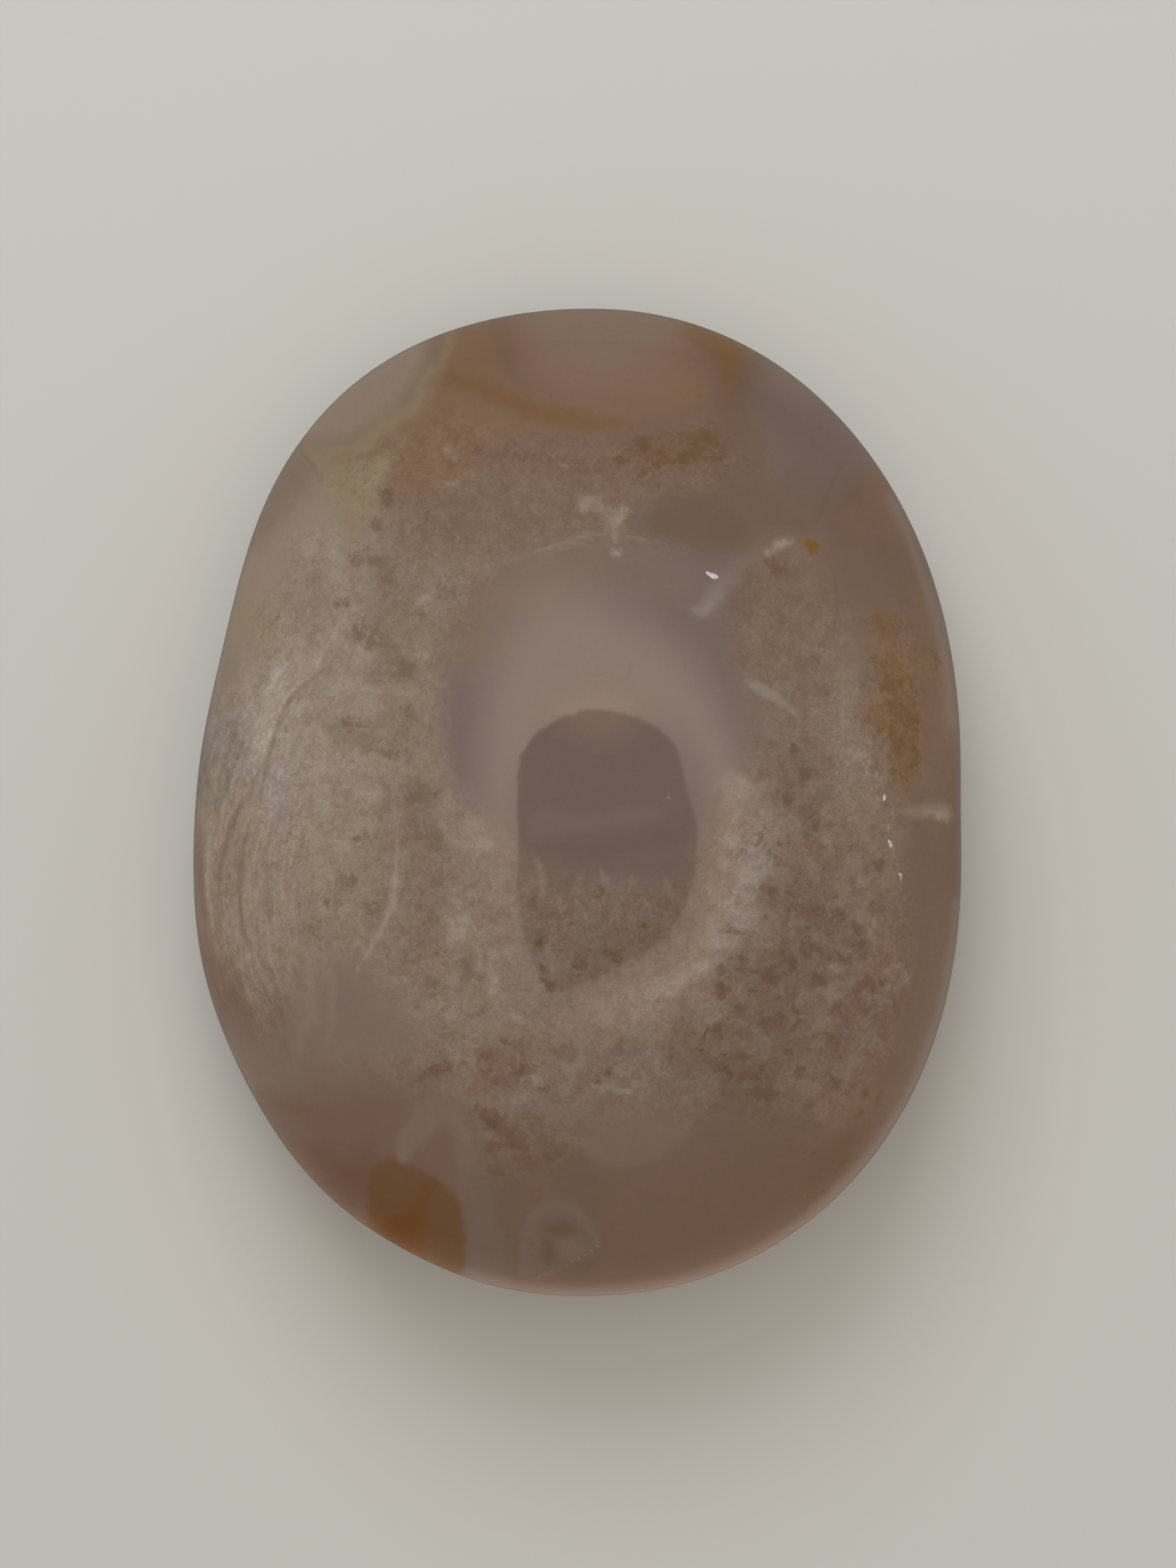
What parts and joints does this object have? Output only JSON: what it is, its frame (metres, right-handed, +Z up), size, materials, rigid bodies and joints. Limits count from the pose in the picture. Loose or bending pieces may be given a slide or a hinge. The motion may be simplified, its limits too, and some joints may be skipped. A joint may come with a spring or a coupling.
{
  "type": "palm stone",
  "caption": "An oval, flattened pebble of polished flower agate that fills the palm of a hand and rests on a small ground spot underneath.",
  "frame": {"origin": "on the resting surface, under the middle of the stone's bounding box", "axes": "Y runs along the length of the oval, towards its narrower end; X runs across it; Z is up, through its thickness"},
  "size_m": [0.0482, 0.062, 0.023],
  "materials": {
    "agate": "polished, slightly translucent mauve-brown agate with cream crystal mottling and orange stains"
  },
  "bodies": {
    "root": {"palm_stone": "agate"}
  },
  "joints": []
}
